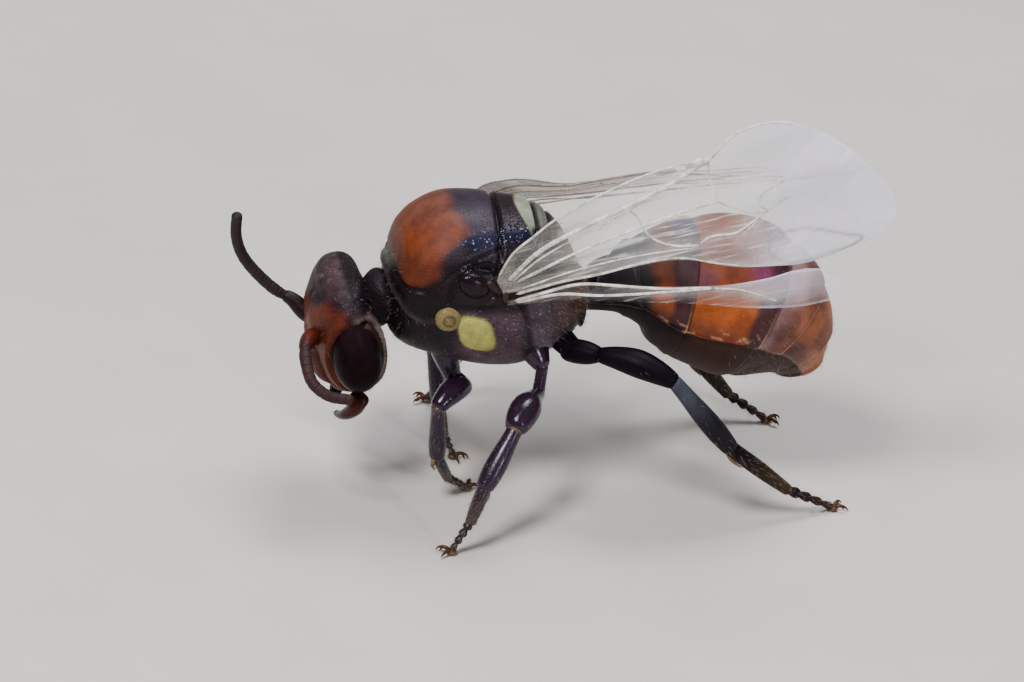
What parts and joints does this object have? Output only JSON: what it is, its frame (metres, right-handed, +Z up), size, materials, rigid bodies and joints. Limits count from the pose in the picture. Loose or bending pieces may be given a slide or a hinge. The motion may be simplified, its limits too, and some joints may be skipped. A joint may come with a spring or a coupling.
{
  "type": "masked bee",
  "caption": "Life-size still model of a standing masked bee with orange-red shield, amber abdomen and clear veined wings",
  "frame": {"origin": "on the floor under the middle of the part's box", "axes": "+X towards the tail, -Y the bee's left side, +Z up"},
  "size_m": [0.0116, 0.0069, 0.008],
  "materials": {
    "head": "dark purplish brown horny shell, orange on the face, finely pitted",
    "eye_left": "dark brown glossy faceted eye",
    "eye_right": "dark brown glossy faceted eye",
    "mandible_left": "dark red-brown horny jaw",
    "mandible_right": "dark red-brown horny jaw",
    "antenna_left": "purplish brown ringed feeler with an orange-red stalk",
    "antenna_right": "dark brown ringed feeler with a dark red stalk",
    "thorax": "orange-red shield on a dark violet-brown pitted shell, cream marks behind",
    "abdomen": "glossy amber-orange back plates with dark bands",
    "forewing_left": "clear membrane with pale cream veins, faintly iridescent",
    "forewing_right": "clear membrane with pale cream veins, faintly iridescent",
    "hindwing_left": "clear membrane with pale cream veins",
    "hindwing_right": "clear membrane with pale cream veins",
    "leg_fore_left": "glossy violet-black horny leg, tan claws",
    "leg_fore_right": "glossy violet-black horny leg, tan claws",
    "leg_mid_left": "glossy violet-black horny leg, tan claws",
    "leg_mid_right": "glossy violet-black horny leg, tan claws",
    "leg_hind_left": "glossy violet-black horny leg, tan claws",
    "leg_hind_right": "glossy violet-black horny leg, tan claws"
  },
  "bodies": {
    "root": {"head": "head", "eye_left": "eye_left", "eye_right": "eye_right", "mandible_left": "mandible_left", "mandible_right": "mandible_right", "antenna_left": "antenna_left", "antenna_right": "antenna_right", "thorax": "thorax", "abdomen": "abdomen", "forewing_left": "forewing_left", "forewing_right": "forewing_right", "hindwing_left": "hindwing_left", "hindwing_right": "hindwing_right", "leg_fore_left": "leg_fore_left", "leg_fore_right": "leg_fore_right", "leg_mid_left": "leg_mid_left", "leg_mid_right": "leg_mid_right", "leg_hind_left": "leg_hind_left", "leg_hind_right": "leg_hind_right"}
  },
  "joints": []
}
